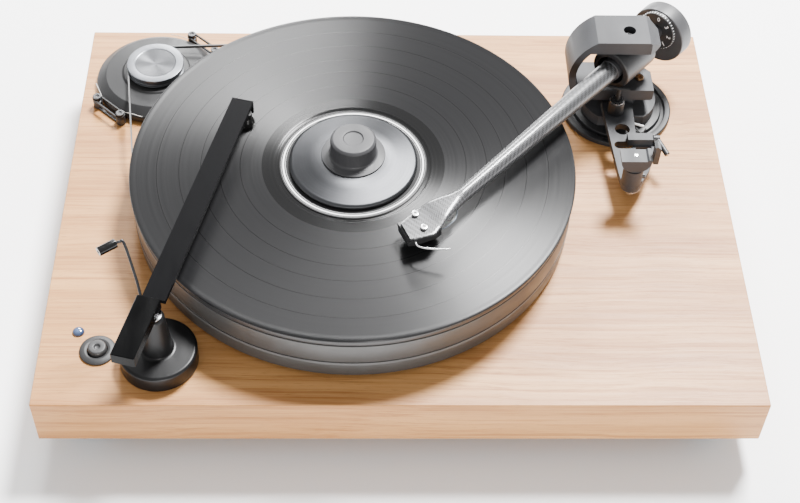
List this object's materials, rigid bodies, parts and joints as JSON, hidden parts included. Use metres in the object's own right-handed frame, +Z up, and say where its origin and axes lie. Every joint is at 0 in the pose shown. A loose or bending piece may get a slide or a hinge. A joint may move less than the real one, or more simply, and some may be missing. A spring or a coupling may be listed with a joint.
{
  "type": "turntable",
  "caption": "Belt-drive record player with a carbon tonearm, outboard motor, record clamp and a hinged record sweeper.",
  "frame": {"origin": "on the floor, at the middle of the box around the object", "axes": "+X to the right, +Y to the back, +Z up"},
  "size_m": [0.465, 0.3535, 0.138],
  "materials": {
    "plinth": "clear satin over straight-grained veneer",
    "feet": "turned, clear anodised",
    "circuit_board": "solder mask",
    "sockets": "gold plated",
    "power_inlet": "moulded black",
    "power_bezel": "grey anodised",
    "power_button": "grey anodised",
    "lamp_lens": "clear blue",
    "bearing": "turned",
    "bearing_steel": "ground and polished",
    "platter": "turned and grey coated",
    "platter_mat": "pressed vinyl",
    "record": "pressed grooved vinyl",
    "record_label": "printed paper disc",
    "clamp_body": "turned, grey anodised",
    "clamp_knob": "turned, grey anodised",
    "motor_cover": "satin black",
    "motor_can": "drawn steel can",
    "motor_shaft": "ground steel",
    "pulley": "turned, clear anodised",
    "motor_bracket": "satin black",
    "motor_band": "plain",
    "belt": "ground flat",
    "arm_collar": "satin black",
    "arm_pillar": "grey powder coat",
    "arm_bridge": "grey powder coat",
    "screws": "steel",
    "bridge_screw": "plain",
    "rest_platform": "grey powder coat",
    "rest_cradle": "grey powder coat",
    "rest_clip": "moulded",
    "lift_cylinder": "satin black",
    "lift_bar": "covered metal",
    "cue_lever": "satin black",
    "gimbal_ring": "satin black",
    "arm_tube": "lacquered woven carbon fibre",
    "cartridge_body": "moulded black",
    "stylus": "drawn tube",
    "headshell_leads": "fine sheathed strands",
    "finger_lift": "polished steel wire",
    "tail_stub": "satin black",
    "counterweight": "turned, black",
    "weight_dial": "black with printed scale",
    "sweeper_base": "black anodised",
    "sweeper_pivot": "turned",
    "sweeper_block": "gloss black",
    "sweeper_arm": "satin black",
    "sweeper_brush": "fine black bristles",
    "sweeper_lever": "bent steel wire",
    "sweeper_grip": "gloss sleeve"
  },
  "bodies": {
    "plinth_body": {"plinth": "plinth", "control_board": "circuit_board", "phono_sockets": "sockets", "ground_post": "sockets", "power_inlet": "power_inlet", "power_bezel": "power_bezel", "lamp_lens": "lamp_lens", "bearing_housing": "bearing", "bearing_ball": "bearing_steel", "motor_cover": "motor_cover", "motor_can": "motor_can", "motor_bracket_front": "motor_bracket", "motor_bracket_rear": "motor_bracket", "motor_band_front": "motor_band", "motor_band_rear": "motor_band", "belt": "belt", "arm_collar": "arm_collar", "arm_pillar": "arm_pillar", "arm_bridge": "arm_bridge", "top_bearing_screw": "screws", "bridge_screw": "bridge_screw", "rest_platform": "rest_platform", "rest_cradle": "rest_cradle", "lift_cylinder": "lift_cylinder", "sweeper_base": "sweeper_base"},
    "platter_body": {"platter": "platter", "platter_mat": "platter_mat", "record": "record", "record_label": "record_label", "spindle": "bearing_steel"},
    "clamp": {"clamp_body": "clamp_body", "clamp_knob": "clamp_knob"},
    "pulley_body": {"pulley": "pulley", "motor_shaft": "motor_shaft"},
    "yoke": {"gimbal_ring": "gimbal_ring"},
    "arm": {"arm_tube": "arm_tube", "cartridge_body": "cartridge_body", "stylus": "stylus", "headshell_leads": "headshell_leads", "cartridge_screw_inner": "screws", "cartridge_screw_outer": "screws", "finger_lift": "finger_lift", "tail_stub": "tail_stub"},
    "weight": {"counterweight": "counterweight"},
    "dial": {"weight_dial": "weight_dial"},
    "cue": {"cue_lever": "cue_lever"},
    "lift": {"lift_bar": "lift_bar"},
    "clip": {"rest_clip": "rest_clip"},
    "button": {"power_button": "power_button"},
    "turret": {"sweeper_pivot": "sweeper_pivot"},
    "beam": {"sweeper_block": "sweeper_block", "sweeper_arm": "sweeper_arm", "sweeper_brush": "sweeper_brush", "sweeper_lever": "sweeper_lever", "sweeper_grip": "sweeper_grip"},
    "foot_1": {"foot_front_left": "feet"},
    "foot_2": {"foot_front_right": "feet"},
    "foot_3": {"foot_rear_left": "feet"},
    "foot_4": {"foot_rear_right": "feet"}
  },
  "joints": [
    {"name": "platter_spin", "type": "hinge", "parent": "plinth_body", "child": "platter_body", "pos_m": [-0.0317, -0.00026, 0.06], "axis": [0, 0, -1], "continuous": true},
    {"name": "pulley_spin", "type": "hinge", "parent": "plinth_body", "child": "pulley_body", "pos_m": [-0.1785, 0.12084, 0.06], "axis": [0, 0, -1], "continuous": true},
    {"name": "clamp_lift", "type": "slide", "parent": "platter_body", "child": "clamp", "axis": [0, 0, 1], "range_m": [0, 0.02]},
    {"name": "arm_swing", "type": "hinge", "parent": "plinth_body", "child": "yoke", "pos_m": [0.1625, 0.09534, 0.1116], "axis": [0, 0, 1], "range_deg": [-5, 40.8]},
    {"name": "arm_lift", "type": "hinge", "parent": "yoke", "child": "arm", "pos_m": [0.1625, 0.09534, 0.1116], "axis": [-0.7466, 0.6652, 0], "range_deg": [0, 3.01]},
    {"name": "counterweight_slide", "type": "slide", "parent": "arm", "child": "weight", "axis": [0.6651, 0.7465, -0.0209], "range_m": [-0.003, 0.004]},
    {"name": "dial_turn", "type": "hinge", "parent": "weight", "child": "dial", "pos_m": [0.1625, 0.09534, 0.1116], "axis": [0.6651, 0.7465, -0.0209], "continuous": true},
    {"name": "cue_lever_turn", "type": "hinge", "parent": "plinth_body", "child": "cue", "pos_m": [0.1832, 0.04194, 0.0832], "axis": [-1, 0, 0], "range_deg": [0, 70]},
    {"name": "cue_lift", "type": "slide", "parent": "plinth_body", "child": "lift", "axis": [0, 0, 1], "range_m": [0, 0.00161]},
    {"name": "rest_clip_turn", "type": "hinge", "parent": "plinth_body", "child": "clip", "pos_m": [0.1745, 0.00434, 0.104], "axis": [0, -1, 0], "range_deg": [0, 18]},
    {"name": "power_push", "type": "slide", "parent": "plinth_body", "child": "button", "axis": [0, 0, -1], "range_m": [0, 0.003], "stiffness_N_per_m": 400},
    {"name": "sweeper_swing", "type": "hinge", "parent": "plinth_body", "child": "turret", "pos_m": [-0.1545, -0.13516, 0.11], "axis": [0, 0, 1], "range_deg": [-8, 25]},
    {"name": "sweeper_tilt", "type": "hinge", "parent": "turret", "child": "beam", "pos_m": [-0.1545, -0.13516, 0.11], "axis": [0.9681, -0.2504, 0], "range_deg": [0, 8]},
    {"name": "foot_1_height", "type": "slide", "parent": "plinth_body", "child": "foot_1", "axis": [0, 0, -1], "range_m": [0, 0.008]},
    {"name": "foot_2_height", "type": "slide", "parent": "plinth_body", "child": "foot_2", "axis": [0, 0, -1], "range_m": [0, 0.008]},
    {"name": "foot_3_height", "type": "slide", "parent": "plinth_body", "child": "foot_3", "axis": [0, 0, -1], "range_m": [0, 0.008]},
    {"name": "foot_4_height", "type": "slide", "parent": "plinth_body", "child": "foot_4", "axis": [0, 0, -1], "range_m": [0, 0.008]}
  ],
  "couplings": [
    {"joint": "pulley_spin", "follows": "platter_spin", "ratio": 7.37},
    {"joint": "cue_lift", "follows": "cue_lever_turn", "m_per_rad": 0.0013096},
    {"joint": "arm_lift", "follows": "cue_lever_turn", "ratio": 0.042857}
  ]
}
